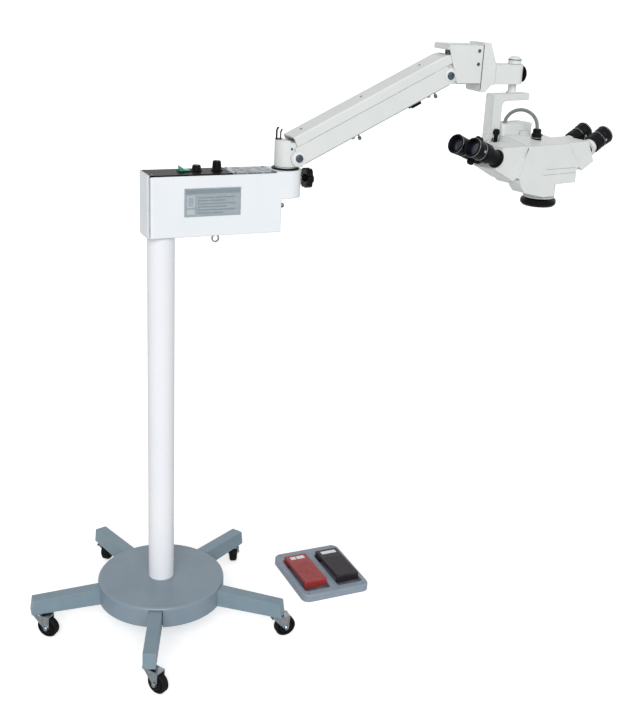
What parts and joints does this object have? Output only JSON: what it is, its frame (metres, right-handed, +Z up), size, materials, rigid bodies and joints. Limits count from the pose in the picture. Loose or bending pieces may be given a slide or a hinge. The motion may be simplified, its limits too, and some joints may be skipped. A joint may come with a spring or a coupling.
{
  "type": "surgical microscope",
  "caption": "Floor-standing operating microscope with castor base, column, control box, levelling balance arm, tilting binocular head and foot switch.",
  "frame": {"origin": "centre of the footprint on the floor", "axes": "+Z up; +X along the control box and the balance arm at rest, towards the microscope head; -Y faces the viewer"},
  "size_m": [1.4493, 0.638, 1.361],
  "materials": {
    "base_casting": "semi-gloss paint over casting",
    "base_paint": "semi-gloss grey-blue enamel",
    "white_paint": "semi-gloss white powder coat",
    "white_cast": "semi-gloss off-white enamel over casting",
    "white_cover": "moulded off-white cover",
    "bright_chrome": "bright plated",
    "black_tyre": "moulded",
    "black_plastic": "fine-grained moulding",
    "black_gloss": "polished moulding",
    "black_anodised": "black anodised",
    "bare_aluminium": "brushed",
    "steel": "ground",
    "rocker_green": "translucent green cap",
    "lens_glass": "coated",
    "cable_sleeve": "ribbed grey sleeve",
    "tray_paint": "grey enamel over casting",
    "pedal_red": "moulded red",
    "pedal_black": "moulded black"
  },
  "bodies": {
    "stand": {"base_spider": "base_casting", "drum_cover": "base_paint", "column_tube": "white_paint"},
    "box": {"box_shell": "white_paint", "control_panel": "black_plastic", "box_lid": "bare_aluminium", "column_sleeve": "steel", "lamp_module": "bare_aluminium", "cable_loop": "bright_chrome"},
    "rocker": {"power_rocker": "rocker_green"},
    "dimmer": {"brightness_knob": "black_plastic"},
    "selector": {"lamp_select_knob": "black_plastic"},
    "clamp": {"clamp_knob": "black_gloss"},
    "turret": {"turret_bracket": "white_cast", "cable_hooks": "black_plastic", "lower_pivot_bolt": "steel"},
    "beam": {"beam_channel": "white_cast", "beam_cover": "white_cover", "balance_spring": "steel", "beam_clips": "bright_chrome", "arm_lock": "black_plastic"},
    "levelling_rod": {"tie_rod": "steel"},
    "bracket": {"head_bracket": "white_cast", "swivel_head": "white_cast", "upper_pivot_bolt": "steel"},
    "brake": {"brake_knob": "black_plastic"},
    "yoke": {"yoke_arm": "white_cast", "spindle_cap": "white_cover"},
    "tilt_lock": {"tilt_lever": "black_plastic"},
    "focus": {"focus_housing": "white_cast", "focus_motor": "steel"},
    "microscope": {"scope_body": "white_cast", "objective_ring": "black_anodised", "objective_lens": "lens_glass", "light_plug": "black_plastic", "light_guide": "cable_sleeve", "main_binocular": "white_cast", "assistant_binocular": "white_cast"},
    "spacing_knob": {"ipd_knob": "black_plastic"},
    "foot_switch": {"foot_switch_tray": "tray_paint"},
    "pedal_left": {"red_pedal": "pedal_red"},
    "pedal_right": {"black_pedal": "pedal_black"},
    "caster_1": {"caster_fork_1": "bright_chrome"},
    "wheel_1": {"caster_wheel_1": "black_tyre"},
    "caster_2": {"caster_fork_2": "bright_chrome"},
    "wheel_2": {"caster_wheel_2": "black_tyre"},
    "caster_3": {"caster_fork_3": "bright_chrome"},
    "wheel_3": {"caster_wheel_3": "black_tyre"},
    "caster_4": {"caster_fork_4": "bright_chrome"},
    "wheel_4": {"caster_wheel_4": "black_tyre"},
    "caster_5": {"caster_fork_5": "bright_chrome"},
    "wheel_5": {"caster_wheel_5": "black_tyre"},
    "main_tube_near": {"main_tube_near": "white_cast"},
    "main_eyepiece_near": {"main_eyepiece_near": "black_plastic"},
    "main_tube_far": {"main_tube_far": "white_cast"},
    "main_eyepiece_far": {"main_eyepiece_far": "black_plastic"},
    "assistant_tube_near": {"assistant_tube_near": "white_cast"},
    "assistant_eyepiece_near": {"assistant_eyepiece_near": "black_plastic"},
    "assistant_tube_far": {"assistant_tube_far": "white_cast"},
    "assistant_eyepiece_far": {"assistant_eyepiece_far": "black_plastic"}
  },
  "joints": [
    {"name": "caster_swivel_1", "type": "hinge", "parent": "stand", "child": "caster_1", "pos_m": [-0.52441, -0.27361, 0.06], "axis": [0, 0, 1], "continuous": true},
    {"name": "wheel_spin_1", "type": "hinge", "parent": "caster_1", "child": "wheel_1", "pos_m": [-0.51241, -0.2944, 0.025], "axis": [0.866, 0.5, 0], "continuous": true},
    {"name": "caster_swivel_2", "type": "hinge", "parent": "stand", "child": "caster_2", "pos_m": [-0.19248, -0.19085, 0.06], "axis": [0, 0, 1], "continuous": true},
    {"name": "wheel_spin_2", "type": "hinge", "parent": "caster_2", "child": "wheel_2", "pos_m": [-0.1685, -0.19169, 0.025], "axis": [0.0349, 0.9994, 0], "continuous": true},
    {"name": "caster_swivel_3", "type": "hinge", "parent": "stand", "child": "caster_3", "pos_m": [-0.16862, 0.15041, 0.06], "axis": [0, 0, 1], "continuous": true},
    {"name": "wheel_spin_3", "type": "hinge", "parent": "caster_3", "child": "wheel_3", "pos_m": [-0.162, 0.17348, 0.025], "axis": [-0.9613, 0.2756, 0], "continuous": true},
    {"name": "caster_swivel_4", "type": "hinge", "parent": "stand", "child": "caster_4", "pos_m": [-0.4858, 0.27856, 0.06], "axis": [0, 0, 1], "continuous": true},
    {"name": "wheel_spin_4", "type": "hinge", "parent": "caster_4", "child": "wheel_4", "pos_m": [-0.46974, 0.29639, 0.025], "axis": [-0.7431, 0.6691, 0], "continuous": true},
    {"name": "caster_swivel_5", "type": "hinge", "parent": "stand", "child": "caster_5", "pos_m": [-0.70569, 0.0165, 0.06], "axis": [0, 0, 1], "continuous": true},
    {"name": "wheel_spin_5", "type": "hinge", "parent": "caster_5", "child": "wheel_5", "pos_m": [-0.68786, 0.00044, 0.025], "axis": [0.6691, 0.7431, 0], "continuous": true},
    {"name": "box_swivel", "type": "hinge", "parent": "stand", "child": "box", "pos_m": [-0.4154, -0.0038, 0.948], "axis": [0, 0, 1], "range_deg": [-150, 150]},
    {"name": "power_rocker_tip", "type": "hinge", "parent": "box", "child": "rocker", "pos_m": [-0.3634, -0.0008, 1.083], "axis": [0, -1, 0], "range_deg": [0, 15]},
    {"name": "brightness_turn", "type": "hinge", "parent": "box", "child": "dimmer", "pos_m": [-0.3354, -0.0008, 1.0825], "axis": [0, 0, 1], "range_deg": [-150, 150]},
    {"name": "lamp_select_turn", "type": "hinge", "parent": "box", "child": "selector", "pos_m": [-0.2894, -0.0008, 1.0825], "axis": [0, 0, 1], "range_deg": [-60, 60]},
    {"name": "clamp_knob_turn", "type": "hinge", "parent": "box", "child": "clamp", "pos_m": [-0.0941, -0.0038, 1.06], "axis": [1, 0, 0], "range_deg": [-180, 180]},
    {"name": "turret_swivel", "type": "hinge", "parent": "box", "child": "turret", "pos_m": [-0.1294, -0.0038, 1.0825], "axis": [0, 0, 1], "range_deg": [-120, 120]},
    {"name": "beam_lift", "type": "hinge", "parent": "turret", "child": "beam", "pos_m": [-0.1104, -0.0038, 1.109], "axis": [0, -1, 0], "range_deg": [-30.8, 12.2]},
    {"name": "levelling_rod_turn", "type": "hinge", "parent": "turret", "child": "levelling_rod", "pos_m": [-0.1104, -0.0038, 1.133], "axis": [0, -1, 0], "range_deg": [-31, 12.4]},
    {"name": "bracket_level", "type": "hinge", "parent": "beam", "child": "bracket", "pos_m": [0.25963, -0.0038, 1.28788], "axis": [0, -1, 0], "range_deg": [-12.4, 31]},
    {"name": "brake_knob_turn", "type": "hinge", "parent": "bracket", "child": "brake", "pos_m": [0.4736, -0.0038, 1.29048], "axis": [1, 0, 0], "range_deg": [-180, 180]},
    {"name": "head_swivel", "type": "hinge", "parent": "bracket", "child": "yoke", "pos_m": [0.4526, -0.0038, 1.26798], "axis": [0, 0, 1], "range_deg": [-170, 170]},
    {"name": "tilt_lever_turn", "type": "hinge", "parent": "yoke", "child": "tilt_lock", "pos_m": [0.40053, -0.02816, 1.15798], "axis": [-0.2079, 0.9781, 0], "range_deg": [0, 100]},
    {"name": "head_tilt", "type": "hinge", "parent": "yoke", "child": "focus", "pos_m": [0.4526, -0.0038, 1.14298], "axis": [0.9781, 0.2079, 0], "range_deg": [-30, 60]},
    {"name": "focus_slide", "type": "slide", "parent": "focus", "child": "microscope", "axis": [0, 0, 1], "range_m": [-0.01, 0.01]},
    {"name": "main_tube_near_slide", "type": "slide", "parent": "microscope", "child": "main_tube_near", "axis": [0.2079, -0.9781, 0], "range_m": [0, 0.0105]},
    {"name": "main_eyepiece_near_dioptre", "type": "hinge", "parent": "main_tube_near", "child": "main_eyepiece_near", "pos_m": [0.31205, -0.13795, 1.12445], "axis": [-0.9132, -0.1941, 0.3584], "range_deg": [-150, 150]},
    {"name": "main_tube_far_slide", "type": "slide", "parent": "microscope", "child": "main_tube_far", "axis": [-0.2079, 0.9781, 0], "range_m": [0, 0.0105]},
    {"name": "main_eyepiece_far_dioptre", "type": "hinge", "parent": "main_tube_far", "child": "main_eyepiece_far", "pos_m": [0.30082, -0.08513, 1.12445], "axis": [-0.9132, -0.1941, 0.3584], "range_deg": [-150, 150]},
    {"name": "assistant_tube_near_slide", "type": "slide", "parent": "microscope", "child": "assistant_tube_near", "axis": [0.2079, -0.9781, 0], "range_m": [-0.0045, 0.0055]},
    {"name": "assistant_eyepiece_near_dioptre", "type": "hinge", "parent": "assistant_tube_near", "child": "assistant_eyepiece_near", "pos_m": [0.6641, -0.06108, 1.12634], "axis": [0.8715, 0.1853, 0.454], "range_deg": [-150, 150]},
    {"name": "assistant_tube_far_slide", "type": "slide", "parent": "microscope", "child": "assistant_tube_far", "axis": [-0.2079, 0.9781, 0], "range_m": [-0.0045, 0.0055]},
    {"name": "assistant_eyepiece_far_dioptre", "type": "hinge", "parent": "assistant_tube_far", "child": "assistant_eyepiece_far", "pos_m": [0.6508, 0.00152, 1.12634], "axis": [0.8715, 0.1853, 0.454], "range_deg": [-150, 150]},
    {"name": "spacing_knob_turn", "type": "hinge", "parent": "microscope", "child": "spacing_knob", "pos_m": [0.34442, -0.10347, 1.13632], "axis": [-0.9132, -0.1941, 0.3584], "range_deg": [0, 55]},
    {"name": "foot_switch_lift", "type": "slide", "parent": "stand", "child": "foot_switch", "axis": [0, 0, 1], "range_m": [0, 0.3]},
    {"name": "red_pedal_press", "type": "hinge", "parent": "foot_switch", "child": "pedal_left", "pos_m": [-0.01936, 0.07598, 0.014], "axis": [0.9998, -0.0175, 0], "range_deg": [0, 4.5], "stiffness_Nm_per_rad": 4, "springref_deg": -8.59},
    {"name": "black_pedal_press", "type": "hinge", "parent": "foot_switch", "child": "pedal_right", "pos_m": [0.07062, 0.07441, 0.014], "axis": [0.9998, -0.0175, 0], "range_deg": [0, 4.5], "stiffness_Nm_per_rad": 4, "springref_deg": -8.59}
  ],
  "couplings": [
    {"joint": "levelling_rod_turn", "follows": "beam_lift", "ratio": 1},
    {"joint": "bracket_level", "follows": "beam_lift", "ratio": -1},
    {"joint": "main_tube_far_slide", "follows": "main_tube_near_slide", "ratio": 1},
    {"joint": "assistant_tube_far_slide", "follows": "assistant_tube_near_slide", "ratio": 1},
    {"joint": "spacing_knob_turn", "follows": "main_tube_near_slide", "rad_per_m": 90}
  ]
}
